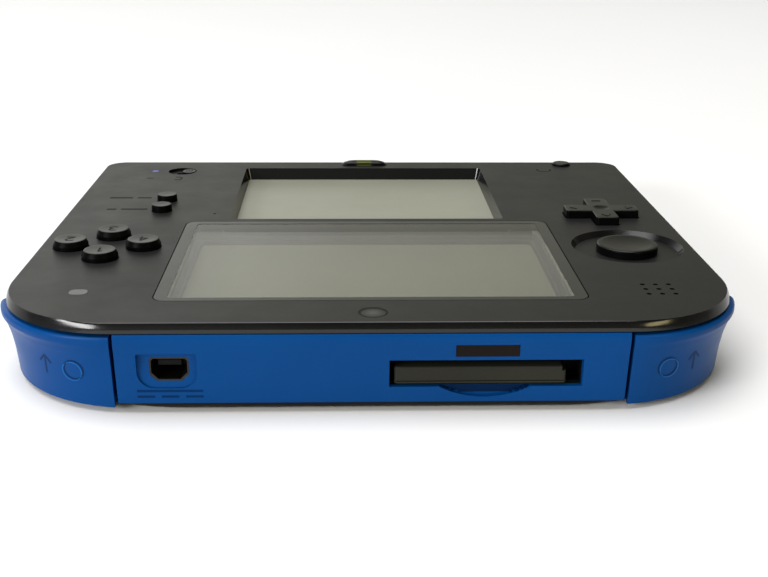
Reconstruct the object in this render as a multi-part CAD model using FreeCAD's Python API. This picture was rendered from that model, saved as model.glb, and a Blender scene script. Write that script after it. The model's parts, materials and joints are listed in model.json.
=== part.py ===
"""A slate-shaped two-screen handheld game console, as an assembly of separate pieces.

The front of the console is built in the face frame: x to the user's right, y towards the
shoulder-button edge, z out of the face, origin at the middle of the flat face. seat() then
tips the face by the wedge angle and lifts it, so that the flat rear lies on z = 0 of the
row frame. Pieces that lie on the rear cover are built in the row frame directly.
"""
import FreeCAD, Part
import math
import os

from FreeCAD import Vector

# ---- overall size, mm ----
WIDTH = 144.0
LENGTH = 127.0
WEDGE_ANGLE = 2.0
TOP_EDGE_DEPTH = 18.1
MID_DEPTH = TOP_EDGE_DEPTH - LENGTH / 2 * math.tan(math.radians(WEDGE_ANGLE))
FACE_HEIGHT = MID_DEPTH * math.cos(math.radians(WEDGE_ANGLE))
FACE_SHIFT_Y = -0.12
TOP_CORNER_R = 26.0
TOP_CORNER_LOW_R = 28.5
BOTTOM_CORNER_R = 6.0

# ---- shells ----
PLATE = 1.9
BAND_TOP = -2.1
BAND_WALL = 2.4
BAND_BASE = 2.0
# Sections of the outer form, as (z, inset at the ends, inset at the long sides, top corner radius).
CASE_SECTIONS = (
    (-PLATE, 0.45, 1.10, 24.45),
    (-1.25, 0.45, 1.10, 24.93),
    (-0.95, 0.53, 1.18, 24.96),
    (-0.35, 0.85, 1.50, 24.63),
    (-0.10, 1.00, 1.65, 24.46),
    (0.00, 1.15, 1.80, 24.15),
)
BAND_SECTIONS = (
    (-2.10, 0.35, 0.90, 26.0),
    (-2.25, 0.20, 0.70, 26.0),
    (-2.50, 0.10, 0.55, 26.0),
    (-4.20, 0.10, 0.30, 26.0),
    (-5.20, 0.28, 0.36, 27.2),
    (-6.50, 0.42, 0.45, 28.5),
    (-10.0, 0.85, 0.85, 28.5),
    (-14.0, 1.35, 1.35, 28.5),
    (-17.5, 1.95, 1.95, 28.5),
)
SHOULDER_SECTIONS = (
    (-2.60, 0.35, 0.40, 26.0),
    (-2.72, 0.20, 0.00, 26.0),
    (-2.95, 0.12, -0.30, 26.0),
    (-3.25, 0.10, -0.46, 26.0),
    (-4.00, 0.10, -0.46, 26.0),
    (-4.40, 0.14, -0.36, 26.25),
    (-4.75, 0.21, -0.22, 26.6),
    (-5.20, 0.28, -0.11, 26.9),
    (-5.60, 0.33, -0.06, 27.2),
    (-6.40, 0.41, -0.02, 27.8),
    (-7.20, 0.50, 0.10, 28.3),
    (-8.90, 0.71, 0.45, 28.5),
    (-10.5, 0.91, 0.74, 28.5),
    (-12.1, 1.11, 0.99, 28.5),
    (-14.0, 1.35, 1.17, 28.5),
    (-17.5, 1.95, 1.45, 28.5),
)
COVER_X = 70.1
COVER_Y = (-61.8, 62.0)
COVER_PLATE = 1.3
COVER_TOP_R = 34.8
COVER_BOTTOM_R = 5.7
COVER_WALL = 1.8
# rounded lower edge of the cover, as (z, inset)
COVER_SECTIONS = ((0, 2.6), (0.2, 1.8), (0.5, 1.1), (1.2, 0.3), (1.9, 0))
# ribs on the cover that locate it inside the band, as (x0, x1, y0, y1) in the row frame
LOCATING_LIPS = ((-68.2, -67.2, -46.0, -14.0), (67.2, 68.2, -46.0, 24.0), (-40.0, 40.0, -59.7, -58.7))

# ---- screens ----
BEZEL = (-41.35, 41.35, -2.6, 51.0)
WINDOW = (-38.8, 38.8, -0.6, 49.3)
TOUCH_TOP = (-32.0, 32.0, -55.3, -4.8)
TOUCH_LOW = (-31.2, 31.2, -54.5, -5.6)
TOUCH_DEPTH = 3.0
LCD_TOP = -5.0
LCD_BASE = -6.2
LCD_FRAME_BASE = -7.4

# ---- controls, centres in the face frame ----
FACE_BUTTONS = {"a": (63.85, 16.9), "b": (56.1, 9.15), "x": (56.1, 24.65), "y": (48.35, 16.9)}
BUTTON_R = 3.75
BUTTON_TAPER = 0.5
BUTTON_SHOULDER = 0.85
BUTTON_HEIGHT = 1.9
BUTTON_TRAVEL = 1.0
OVAL_BUTTONS = {"start": (48.75, -12.2), "select": (48.75, -21.5)}
OVAL_R = 2.4
OVAL_TAPER = 0.12
OVAL_HEIGHT = 1.65
FIT = 0.1
DPAD = (-55.6, -7.6)
DPAD_SPAN = 17.1
DPAD_ARM = 5.3
DPAD_HEIGHT = 1.9
DPAD_PIVOT_Z = -2.4
PAD = (-56.3, 16.9)
DISH_TOP_R = 12.05
DISH_LOW_R = 11.1
DISH_DEPTH = 1.25
PAD_CAP_R = 6.6
PAD_CAP_TOP = 0.65
HOME = (-0.25, -59.7)
HOME_SIZE = (12.4, 3.3)
HOME_DOME = ((0.1, 0.0, 0.0), (0.65, 0.6, 0.3), (1.05, 1.9, 0.75), (1.2, 3.2, 1.2))
POWER = (-55.35, -59.4)
POWER_R = 2.5
SLEEP = (49.0, -51.8)
SLEEP_R = 3.75
SLEEP_TOP = 0.1
SPEAKER = (-56.0, 45.25)
SPEAKER_PITCH = (2.6, 2.75)
SPEAKER_HOLE_R = 0.5
NOTICE_LED = (56.1, 45.9)
NOTICE_SIZE = (3.5, 3.0)
POWER_LED = (56.3, -52.0)
MIC = (35.9, -9.3)
CAMERA = (0.0, 57.6)
MAIN_BOARD = (-13.8, -13.0)
BOARD_TOP = -5.05
BOARD_BASE = -6.0

# ---- top edge ----
SLOT = (-38.4, -2.9, -12.85, -7.3)
CARD = (-35.4, -3.8, -12.3, -8.9)
CARD_Y = (27.5, 62.2)
THUMB_DISH = (-20.5, 9.0, 2.5)
THUMB_DISH_Y = 61.15
PORT = (31.9, 42.8, -12.85, -5.8)
PORT_LOW_R = 3.2
PORT_SHELL = (33.4, 40.6, -11.45, -6.8)
PORT_SHELL_TOP_CUT = 0.4
PORT_SHELL_LOW_CUT = 1.3
IR = (-26.55, -14.9, -6.6, -4.2)
SEAM_X = 47.0
SEAM_GAP = 0.35
SIDE_SEAM_Y = 42.4
RECESS = 7.2
RECESS_WALL = 1.2
RECESS_END_Y = 38.4
BUTTON_WALL = 3.2
BUTTON_BASE = (1.8, 2.9)
SKIRT_BASE = 1.05
SKIRT_CLEAR = (1.9, 0.6)
HINGE = (49.4, 57.6)
HINGE_R = 0.8
HINGE_BOSS_R = 1.5

# ---- other edges ----
STYLUS = (66.0, -8.5)
STYLUS_R = 1.9
STYLUS_Y = (-62.6, 20.0)
JACK = (-49.9, -6.8)
JACK_R = 1.8
JACK_LENGTH = 12.0
SD_DOOR = (-39.5, -13.5, -11.3, -7.7)
SD_PIVOT = (-70.6, -10.65)
SD_PIN_R = 0.32
VOLUME_Y = (2.6, 16.6)
VOLUME_Z = -7.5
STRAP_X = -61.5

# ---- screws and posts, row frame x, y ----
POSTS = ((-63.8, -55.6), (57.6, -57.2), (-66.8, -0.6), (58.0, -33.0), (-41.6, 57.0), (25.0, 57.6))
POST_R = 2.3
DOOR_SCREWS = ((-24.0, -4.6), (24.0, -4.6))
BATTERY_DOOR = (-31.0, 31.0, -53.0, -1.5)

parts = {}


def box(x0, x1, y0, y1, z0, z1):
    return Part.makeBox(x1 - x0, y1 - y0, z1 - z0, Vector(x0, y0, z0))


def disc(centre, radius, z0, z1):
    return Part.makeCylinder(radius, z1 - z0, Vector(centre[0], centre[1], z0))


def rod(radius, x, z, y0, y1):
    return Part.makeCylinder(radius, y1 - y0, Vector(x, y0, z), Vector(0, 1, 0))


def cone(centre, r0, r1, z0, z1):
    return Part.makeCone(r0, r1, z1 - z0, Vector(centre[0], centre[1], z0))


def fuse(*shapes):
    whole = shapes[0]
    for shape in shapes[1:]:
        whole = whole.fuse(shape)
    return whole.removeSplitter()


def rounded_wire(x0, x1, y0, y1, z, low_r, high_r=None):
    """A rectangle whose two low-y corners and two high-y corners are rounded."""
    high_r = low_r if high_r is None else high_r
    corners = (
        (x1 - low_r, y0 + low_r, low_r, -90),
        (x1 - high_r, y1 - high_r, high_r, 0),
        (x0 + high_r, y1 - high_r, high_r, 90),
        (x0 + low_r, y0 + low_r, low_r, 180),
    )
    arcs = [corner_arc(x, y, z, r, start) for x, y, r, start in corners]
    edges = []
    for i, arc in enumerate(arcs):
        following = arcs[(i + 1) % len(arcs)]
        edges.append(arc.toShape())
        edges.append(Part.LineSegment(arc.EndPoint, following.StartPoint).toShape())
    return Part.Wire(edges)


def corner_arc(x, y, z, r, start):
    points = []
    for angle in (start, start + 45, start + 90):
        turn = math.radians(angle)
        points.append(Vector(x + r * math.cos(turn), y + r * math.sin(turn), z))
    return Part.Arc(*points)


def rounded_block(area, z0, z1, r):
    x0, x1, y0, y1 = area
    return Part.Face(rounded_wire(x0, x1, y0, y1, z0, r)).extrude(Vector(0, 0, z1 - z0))


def outline(inset, z, top_r=TOP_CORNER_R, side_inset=None):
    """The plan outline moved inwards, by a distance of its own at the long sides if one is given."""
    hx = WIDTH / 2 - (inset if side_inset is None else side_inset)
    hy = LENGTH / 2 - inset
    return rounded_wire(-hx, hx, -hy, hy, z, BOTTOM_CORNER_R - inset, top_r - inset)


def outline_block(inset, z0, z1, top_r=TOP_CORNER_R):
    return Part.Face(outline(inset, z0, top_r)).extrude(Vector(0, 0, z1 - z0))


def grow(area, by):
    return (area[0] - by, area[1] + by, area[2] - by, area[3] + by)


def wall_block(area, y0, y1):
    """A block through the top-edge wall, from its x and z span."""
    return box(area[0], area[1], y0, y1, area[2], area[3])


def edges_at(shape, test):
    return [e for e in shape.Edges if all(test(v.Point) for v in e.Vertexes)]


def round_top(shape, z, radius):
    return shape.makeFillet(radius, edges_at(shape, lambda p: abs(p.z - z) < 1e-4))


def mirror_x(shape):
    return shape.mirror(Vector(0, 0, 0), Vector(1, 0, 0))


def seat(shape):
    """Moves a shape from the face frame to the row frame."""
    placed = shape.copy()
    placed.rotate(Vector(0, 0, 0), Vector(1, 0, 0), WEDGE_ANGLE)
    placed.translate(Vector(0, FACE_SHIFT_Y, FACE_HEIGHT))
    return placed


def above_rear(height):
    """Everything higher than a plane parallel to the rear, in the row frame."""
    return box(-100, 100, -100, 100, height, 60)


def skin(sections):
    wires = [outline(inset, z, top_r, side_inset) for z, inset, side_inset, top_r in sections]
    return Part.makeLoft(wires, True, True)


def shoulder_zone(side, gap):
    """The corner that a shoulder button fills; its side seam runs along the press direction."""
    seam = SEAM_X + gap
    end = RECESS_END_Y + gap
    turn = WIDTH / 2 - (SIDE_SEAM_Y - RECESS_END_Y)
    edge = WIDTH / 2 + 3
    corners = ((seam, end), (turn, end), (edge, end + edge - turn), (edge, 90.0), (seam, 90.0))
    points = [Vector(side * x, y, -30) for x, y in corners]
    return Part.Face(Part.makePolygon(points + points[:1])).extrude(Vector(0, 0, 40))


# ---- shells ----


def front_case():
    plate = skin(CASE_SECTIONS)
    rim = rounded_block(grow(TOUCH_LOW, 2.4), -TOUCH_DEPTH, -PLATE, 2.0)
    dish_back = disc(PAD, DISH_LOW_R + 1.6, -DISH_DEPTH - 1.3, -PLATE)
    case = fuse(plate, rim, dish_back)
    case = case.cut(rounded_block(grow(BEZEL, 0.22), -1.2, 1, 2.6))
    case = case.cut(rounded_block(grow(WINDOW, 0.8), -9, 1, 1.5))
    case = case.cut(touch_funnel())
    case = case.cut(cone(PAD, DISH_LOW_R, DISH_TOP_R, -DISH_DEPTH, 0))
    case = case.cut(disc(PAD, PAD_CAP_R - 1.9, -9, 1))
    case = case.cut(dpad_cross(DPAD_SPAN + 0.5, DPAD_ARM + 0.5, -9, 1, 0.8))
    for centre in FACE_BUTTONS.values():
        case = case.cut(disc(centre, BUTTON_R + FIT, -9, 1))
    for centre in OVAL_BUTTONS.values():
        case = case.cut(disc(centre, OVAL_R + FIT, -9, 1))
    case = case.cut(rounded_block(home_area(FIT), -9, 1, HOME_SIZE[1] / 2 + FIT - 0.01))
    case = case.cut(disc(POWER, POWER_R + FIT, -9, 1))
    case = case.cut(sleep_pocket())
    case = case.cut(rounded_block(notice_area(0.05), -9, 1, 1.3))
    case = case.cut(disc(POWER_LED, 0.95, -9, 1))
    case = case.cut(disc(MIC, 0.35, -9, 1))
    case = case.cut(disc(CAMERA, 2.75, -9, 1))
    for centre in speaker_holes():
        case = case.cut(disc(centre, SPEAKER_HOLE_R, -9, 1))
    case = seat(case)
    for centre in POSTS:
        case = case.fuse(post(centre))
    return case.removeSplitter()


def touch_funnel():
    top = rounded_wire(*TOUCH_TOP, 0, 1.0)
    low = rounded_wire(*TOUCH_LOW, -TOUCH_DEPTH, 0.6)
    return Part.makeLoft([low, top], True, True)


def area_round(centre, size, by):
    """The rectangle of that size round a centre, grown by a margin."""
    x, y = centre
    half_x = size[0] / 2
    half_y = size[1] / 2
    return grow((x - half_x, x + half_x, y - half_y, y + half_y), by)


def home_area(by):
    return area_round(HOME, HOME_SIZE, by)


def notice_area(by):
    return area_round(NOTICE_LED, NOTICE_SIZE, by)


def sleep_pocket():
    x, y = SLEEP
    slot = rounded_block((x - 2.8, x + 1.6, y - 1.1, y + 1.1), -9, 1, 0.6)
    return disc(SLEEP, SLEEP_R, -0.8, 1).fuse(slot)


def speaker_holes():
    x, y = SPEAKER
    step_x, step_y = SPEAKER_PITCH
    return [(x + i * step_x, y + j * step_y) for i in (-1, 0, 1) for j in (-1, 0, 1)]


def post(centre):
    """A screw post under the face, square to the rear, with a blind hole for the case screw."""
    top = FACE_HEIGHT - 2.6 + centre[1] * math.tan(math.radians(WEDGE_ANGLE))
    tube = disc(centre, POST_R, 5.2, top + 1.0)
    return tube.cut(disc(centre, 0.95, 5.0, top - 1.6))


def side_band():
    ring = skin(BAND_SECTIONS).cut(outline_block(BAND_WALL, -30, 5, TOP_CORNER_R))
    for side in (-1, 1):
        ring = ring.cut(shoulder_zone(side, -SEAM_GAP))
        ring = ring.fuse(recess_wall(side))
    ring = ring.cut(wall_block(SLOT, 55, 70))
    ring = ring.fuse(thumb_dish_back()).cut(thumb_dish())
    ring = ring.cut(port_recess())
    ring = ring.cut(wall_block(IR, 60, 70))
    ring = ring.cut(rod(STYLUS_R + 0.15, STYLUS[0], STYLUS[1], -70, -50))
    ring = ring.cut(rod(2.5, STYLUS[0], STYLUS[1], -58.6, -50))
    ring = ring.cut(rod(2.6, JACK[0], JACK[1], -70, -50))
    ring = ring.cut(box(-75, -60, SD_DOOR[0], SD_DOOR[1], SD_DOOR[2], SD_DOOR[3]))
    ring = ring.cut(rod(SD_PIN_R + 0.06, *SD_PIVOT, SD_DOOR[0] - 1.1, SD_DOOR[1] + 1.1))
    ring = ring.cut(box(-75, -60, VOLUME_Y[0], VOLUME_Y[1], VOLUME_Z - 1.1, VOLUME_Z + 1.1))
    ring = ring.cut(box(STRAP_X - 2.3, STRAP_X + 2.3, -70, -50, -8.2, -5.2))
    ring = ring.cut(rounded_block(home_area(0.3), -3.0, 0, 1.8)).cut(disc(POWER, POWER_R + 0.3, -3.0, 0))
    ring = seat(ring.removeSplitter())
    return ring.common(above_rear(BAND_BASE)).removeSplitter()


def recess_wall(side):
    """The inner wall, end webs and hinge lugs behind a shoulder button."""
    zone = shoulder_zone(1, -SEAM_GAP - RECESS_WALL)
    shelf = outline_block(RECESS, -17, BAND_TOP).cut(outline_block(RECESS + RECESS_WALL, -30, 5))
    near_seam = SEAM_X - SEAM_GAP
    deep = RECESS + RECESS_WALL
    web = box(near_seam - RECESS_WALL, near_seam, LENGTH / 2 - deep, 61.6, -17, BAND_TOP)
    low = RECESS_END_Y - SEAM_GAP
    foot = box(WIDTH / 2 - deep, WIDTH / 2 - 1.9, low - RECESS_WALL, low, -17, BAND_TOP)
    wall = fuse(shelf.common(zone), web, foot)
    for z0, z1 in ((-3.6, -2.3), (-14.6, -13.2)):
        lug = box(HINGE[0] - 1.5, HINGE[0] + 1.5, 55.2, HINGE[1], z0, z1)
        wall = wall.fuse(lug).fuse(disc(HINGE, HINGE_BOSS_R, z0, z1))
    wall = wall.cut(disc(HINGE, HINGE_R, -20, 5))
    return wall if side > 0 else mirror_x(wall)


def thumb_dish():
    """The shallow thumb hollow under the card slot."""
    x, half, drop = THUMB_DISH
    radius = (half * half + drop * drop) / (2 * drop)
    z = SLOT[2] + 0.3 - drop + radius
    hollow = Part.makeCylinder(radius, 8, Vector(x, THUMB_DISH_Y, z), Vector(0, 1, 0))
    return hollow.common(box(x - half, x + half, 50, 80, -16, SLOT[2] + 0.1))


def thumb_dish_back():
    """Keeps the wall thick behind the thumb hollow."""
    x, half, drop = THUMB_DISH
    area = (x - half, x + half, SLOT[2] - drop - 0.6, SLOT[2] - 0.25)
    return wall_block(area, THUMB_DISH_Y - 0.6, THUMB_DISH_Y + 0.3)


def port_recess():
    """A shallow recess with round lower corners, and the through hole for the shell."""
    x0, x1, z0, z1 = PORT
    depth = 8.0
    recess = Part.Face(rounded_wire(x0, x1, z0, z1, 0, PORT_LOW_R, 0.4)).extrude(Vector(0, 0, depth))
    recess.rotate(Vector(0, 0, 0), Vector(1, 0, 0), 90)
    recess.translate(Vector(0, 62.0 + depth, 0))
    return recess.fuse(port_tube(0, 55, 70))


def rear_cover():
    cover = Part.makeLoft([cover_wire(inset, z) for z, inset in COVER_SECTIONS], True, True)
    cover = cover.cut(Part.Face(cover_wire(COVER_WALL, COVER_PLATE)).extrude(Vector(0, 0, 5)))
    for side in (-1, 1):
        corner = seat(shoulder_zone(side, -SEAM_GAP - 0.3))
        cover = cover.cut(corner.common(above_rear(COVER_PLATE)))
    for x0, x1, lip_y0, lip_y1 in LOCATING_LIPS:
        cover = cover.fuse(box(x0, x1, lip_y0, lip_y1, COVER_PLATE - 0.1, 3.6))
    for centre in POSTS:
        cover = cover.fuse(disc(centre, POST_R, COVER_PLATE - 0.1, 5.1))
    for centre in POSTS:
        cover = cover.cut(disc(centre, 1.1, -1, 6)).cut(disc(centre, 1.9, -1, 1.9))
    cover = cover.cut(rounded_block(BATTERY_DOOR, -1, 9, 2.0))
    for x, y in DOOR_SCREWS:
        boss = disc((x, y), 3.0, COVER_PLATE, 4.6)
        cover = cover.fuse(boss.fuse(box(x - 3, x + 3, y, -0.5, COVER_PLATE, 2.3)))
    for centre in DOOR_SCREWS:
        cover = cover.cut(disc(centre, 0.95, -1, 6))
    for centre in outer_cameras():
        cover = cover.cut(disc(centre, 3.65, -1, 5))
    cover = cover.cut(box(STRAP_X - 2.3, STRAP_X + 2.3, -58.8, -56.0, -1, 4))
    return cover.removeSplitter()


def cover_wire(inset, z):
    x = COVER_X - inset
    y0, y1 = COVER_Y
    return rounded_wire(-x, x, y0 + inset, y1 - inset, z, COVER_BOTTOM_R - inset, COVER_TOP_R - inset)


def outer_cameras():
    return ((-17.5, 50.0), (17.5, 50.0))


def battery_cover():
    area = grow(BATTERY_DOOR, -0.15)
    plate = rounded_block(area, 0, COVER_PLATE - 0.05, 1.9)
    for centre in DOOR_SCREWS:
        plate = plate.cut(disc(centre, 1.1, -1, 3)).cut(disc(centre, 1.9, -1, 0.95))
    for i in range(5):
        y = -49.0 + i * 1.6
        plate = plate.cut(rounded_block((-9, 9, y, y + 0.7), -1, 0.35, 0.34))
    return plate


def screw(centre, head_z, tip_z):
    head = disc(centre, 1.75, head_z, head_z + 0.9)
    cross = box(centre[0] - 1.0, centre[0] + 1.0, centre[1] - 0.2, centre[1] + 0.2, head_z - 1, head_z + 0.5)
    other = box(centre[0] - 0.2, centre[0] + 0.2, centre[1] - 1.0, centre[1] + 1.0, head_z - 1, head_z + 0.5)
    return head.fuse(disc(centre, 0.9, head_z, tip_z)).cut(cross).cut(other)


# ---- screens ----


def upper_bezel():
    ring = rounded_block(BEZEL, -1.15, 0, 2.4)
    return ring.cut(rounded_block(WINDOW, -2, 1, 0.8))


def upper_window():
    return rounded_block(grow(WINDOW, -0.03), -1.15, -0.06, 0.8)


def screen_spacer():
    """The grey frame between the two lenses and the panel, open over both pictures."""
    block = rounded_block((-42.4, 42.4, -57.2, 52.4), LCD_TOP + 0.02, -TOUCH_DEPTH - 0.02, 2.0)
    wall = rounded_block(grow(WINDOW, 2.2), -TOUCH_DEPTH - 0.02, -PLATE - 0.02, 2.0)
    spacer = block.fuse(wall.cut(box(-50, 50, -9, 0.0, -9, 1)))
    spacer = spacer.cut(disc(MIC, 2.2, -9, 1))
    spacer = spacer.cut(rounded_block(grow(WINDOW, -0.3), -4.0, 1, 1.0))
    spacer = spacer.cut(rounded_block(grow(WINDOW, -0.9), -9, 1, 1.0))
    return spacer.cut(rounded_block((-34.2, 34.2, -56.2, -3.6), -9, 1, 1.0)).removeSplitter()


# ---- face controls ----


def dpad_cross(span, arm, z0, z1, corner):
    half = span / 2
    across = (DPAD[0] - half, DPAD[0] + half, DPAD[1] - arm / 2, DPAD[1] + arm / 2)
    along = (DPAD[0] - arm / 2, DPAD[0] + arm / 2, DPAD[1] - half, DPAD[1] + half)
    return rounded_block(across, z0, z1, corner).fuse(rounded_block(along, z0, z1, corner)).removeSplitter()


def round_button(centre, radius, taper, height, travel, dish):
    """Cap, hidden flange and plunger of a button that moves square to the face."""
    cap = disc(centre, radius, -PLATE - 0.1, BUTTON_SHOULDER)
    cap = cap.fuse(cone(centre, radius, radius - taper, BUTTON_SHOULDER, height))
    cap = round_top(cap.removeSplitter(), height, 0.18)
    flange = disc(centre, radius + 0.65, -PLATE - 1.0, -PLATE - 0.1)
    plunger = disc(centre, radius * 0.5, BOARD_TOP + travel + 0.05, -PLATE - 1.0)
    button = fuse(cap, flange, plunger)
    ball = 40.0
    return button.cut(Part.makeSphere(ball, Vector(centre[0], centre[1], height + ball - dish)))


def dpad():
    cap = dpad_cross(DPAD_SPAN, DPAD_ARM, -2.75, DPAD_HEIGHT, 0.7)
    cap = round_top(cap, DPAD_HEIGHT, 0.4)
    cap = cap.cut(Part.makeSphere(5.0, Vector(DPAD[0], DPAD[1], DPAD_HEIGHT + 4.6)))
    reach = DPAD_SPAN / 2 - 1.1
    for quarter in range(4):
        cap = cap.fuse(dpad_arrow(reach, quarter * 90))
    flange = disc(DPAD, 9.5, -3.5, -2.75)
    whole = fuse(cap, flange)
    socket = disc(DPAD, 1.4, -4, DPAD_PIVOT_Z).fuse(Part.makeSphere(1.4, Vector(*DPAD, DPAD_PIVOT_Z)))
    return whole.cut(socket)


def dpad_arrow(reach, angle):
    points = ((reach, 0), (reach - 1.5, 1.1), (reach - 1.5, -1.1))
    wire = Part.makePolygon([Vector(x, y, DPAD_HEIGHT - 0.1) for x, y in points + points[:1]])
    arrow = Part.Face(wire).extrude(Vector(0, 0, 0.2))
    arrow.rotate(Vector(0, 0, 0), Vector(0, 0, 1), angle)
    arrow.translate(Vector(*DPAD, 0))
    return arrow


def dpad_membrane():
    sheet = disc(DPAD, 10.6, BOARD_TOP, BOARD_TOP + 0.45)
    pedestal = disc(DPAD, 1.2, BOARD_TOP, DPAD_PIVOT_Z - 1.4)
    return sheet.fuse(pedestal)


def circle_pad_cap():
    low = -DISH_DEPTH + 0.2
    cap = round_top(disc(PAD, PAD_CAP_R, low, PAD_CAP_TOP), PAD_CAP_TOP, 0.5)
    ball = 34.0
    cap = cap.cut(Part.makeSphere(ball, Vector(*PAD, PAD_CAP_TOP + ball - 0.45)))
    stem = disc(PAD, 1.8, -5.9, low)
    keeper = disc(PAD, 3.4, -5.9, -5.2)
    return fuse(cap, stem, keeper)


def circle_pad_carriage():
    """Slides across the housing and lets the stem slide along its own slot."""
    x, y = PAD
    plate = box(x - 5.6, x + 5.6, y - 6.4, y + 6.4, -4.6, -3.6)
    return plate.cut(box(x - 1.86, x + 1.86, y - 4.2, y + 4.2, -9, 0))


def circle_pad_housing():
    x, y = PAD
    tray = box(x - 9.1, x + 9.1, y - 7.6, y + 7.6, -7.0, -2.9)
    room = box(x - 7.8, x + 7.8, y - 6.5, y + 6.5, -6.3, -3.4)
    mouth = box(x - 4.6, x + 4.6, y - 4.6, y + 4.6, -4, 0)
    return tray.cut(room).cut(mouth)


def home_button():
    x, y = HOME
    cap = rounded_block(home_area(0), -PLATE - 0.1, HOME_DOME[0][0], HOME_SIZE[1] / 2 - 0.01)
    cap = cap.fuse(Part.makeLoft([home_wire(*section) for section in HOME_DOME], True, True))
    flange = rounded_block(home_area(0.6), -PLATE - 0.8, -PLATE - 0.1, 1.4)
    inside = box(x - 9, x + 9, -60.9, y + 3, -9, 1)
    plunger = disc(HOME, 1.0, -4.1, -PLATE - 0.8)
    return fuse(cap, flange.common(inside), plunger)


def home_wire(z, end_inset, side_inset):
    x0, x1, y0, y1 = home_area(0)
    corner = HOME_SIZE[1] / 2 - side_inset - 0.01
    return rounded_wire(x0 + end_inset, x1 - end_inset, y0 + side_inset, y1 - side_inset, z, corner)


def power_button():
    cap = round_top(disc(POWER, POWER_R, -PLATE - 0.1, 0.7), 0.7, 0.6)
    flange = disc(POWER, POWER_R + 0.5, -PLATE - 0.8, -PLATE - 0.1).common(box(-60, -50, -60.9, -55, -9, 1))
    return fuse(cap, flange, disc(POWER, 1.0, -4.1, -PLATE - 0.8))


def sleep_slider():
    x, y = SLEEP
    thumb = rounded_block((x - 3.5, x - 0.1, y - 2.0, y + 2.0), -0.7, SLEEP_TOP, 1.65)
    thumb = thumb.makeFillet(0.2, edges_at(thumb, lambda p: p.z > SLEEP_TOP - 0.05))
    for i in (-1, 0, 1):
        ridge_x = x - 1.8 + i * 0.7
        groove = box(ridge_x - 0.12, ridge_x + 0.12, y - 1.2, y + 1.2, SLEEP_TOP - 0.15, SLEEP_TOP + 1)
        thumb = thumb.cut(groove)
    stem = rounded_block((x - 2.6, x - 0.9, y - 1.0, y + 1.0), -3.4, -0.7, 0.5)
    return thumb.fuse(stem)


def switches():
    """Small switch bodies: under HOME, power and the sleep slider, and behind each shoulder button."""
    home = box(HOME[0] - 1.75, HOME[0] + 1.75, HOME[1] - 1.2, HOME[1] + 1.4, -6.4, -4.8)
    power = box(POWER[0] - 1.75, POWER[0] + 1.75, POWER[1] - 1.2, POWER[1] + 1.4, -6.4, -4.8)
    corner = box(-1.7, 1.7, 0.02, 1.2, -10.5, -6.5)
    corner.rotate(Vector(0, 0, 0), Vector(0, 0, 1), -45)
    diagonal = (TOP_CORNER_R - RECESS) / math.sqrt(2)
    corner.translate(Vector(WIDTH / 2 - TOP_CORNER_R + diagonal, LENGTH / 2 - TOP_CORNER_R + diagonal, 0))
    sleep = box(SLEEP[0] - 4.0, SLEEP[0] + 4.0, SLEEP[1] - 1.9, SLEEP[1] + 1.9, -5.6, -3.6)
    return [home, power, sleep, corner, mirror_x(corner)]


# ---- shoulder buttons ----


def shoulder_button():
    """The right button: a curved shell with a base flange and a hinge boss near its inner end."""
    zone = shoulder_zone(1, SEAM_GAP)
    form = skin(SHOULDER_SECTIONS).common(zone)
    shell = form.cut(outline_block(BUTTON_WALL, -30, 5, TOP_CORNER_LOW_R))
    base = seat(form.cut(outline_block(BUTTON_WALL + 1.6, -30, 5, TOP_CORNER_LOW_R)))
    base = base.common(box(-100, 100, -100, 100, *BUTTON_BASE))
    shell = seat(shell).common(above_rear(BUTTON_BASE[0]))
    skirt = seat(form).common(box(-100, 100, -100, 100, SKIRT_BASE, BUTTON_BASE[0] + 0.1))
    skirt = skirt.cut(skirt_room())
    boss = disc(HINGE, HINGE_BOSS_R, -13.0, -3.8)
    arm = box(HINGE[0] - 1.3, HINGE[0] + 1.3, HINGE[1], 61.0, -13.0, -3.8)
    inner = seat(fuse(boss, arm).cut(disc(HINGE, HINGE_R + 0.06, -20, 5)))
    swing_room = box(40, WIDTH / 2 - BUTTON_WALL + 0.4, 20, RECESS_END_Y + 2, -30, 5)
    return fuse(shell, base, skirt, inner).cut(seat(swing_room))


def skirt_room():
    """Room for the corner of the rear cover inside the swinging skirt of a shoulder button."""
    x = COVER_X + SKIRT_CLEAR[0]
    y0, y1 = COVER_Y
    corner_r = COVER_TOP_R + (SKIRT_CLEAR[0] + SKIRT_CLEAR[1]) / 2
    wire = rounded_wire(-x, x, y0, y1 + SKIRT_CLEAR[1], 0, COVER_BOTTOM_R, corner_r)
    return Part.Face(wire).extrude(Vector(0, 0, 5))


def hinge_pins():
    pin = disc(HINGE, HINGE_R, -14.6, -2.3)
    return [pin, mirror_x(pin)]


def shoulder_springs():
    """A closely wound torsion spring round each hinge boss."""
    coil = disc(HINGE, 2.1, -6.6, -4.2).cut(disc(HINGE, HINGE_BOSS_R + 0.06, -7, -4))
    coil = coil.cut(box(HINGE[0] - 3, HINGE[0] + 3, HINGE[1] + 0.2, HINGE[1] + 3, -7, -4))
    coil = coil.cut(outline_block(RECESS - 0.02, -20, 5))
    return [coil, mirror_x(coil)]


# ---- edges ----


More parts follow.
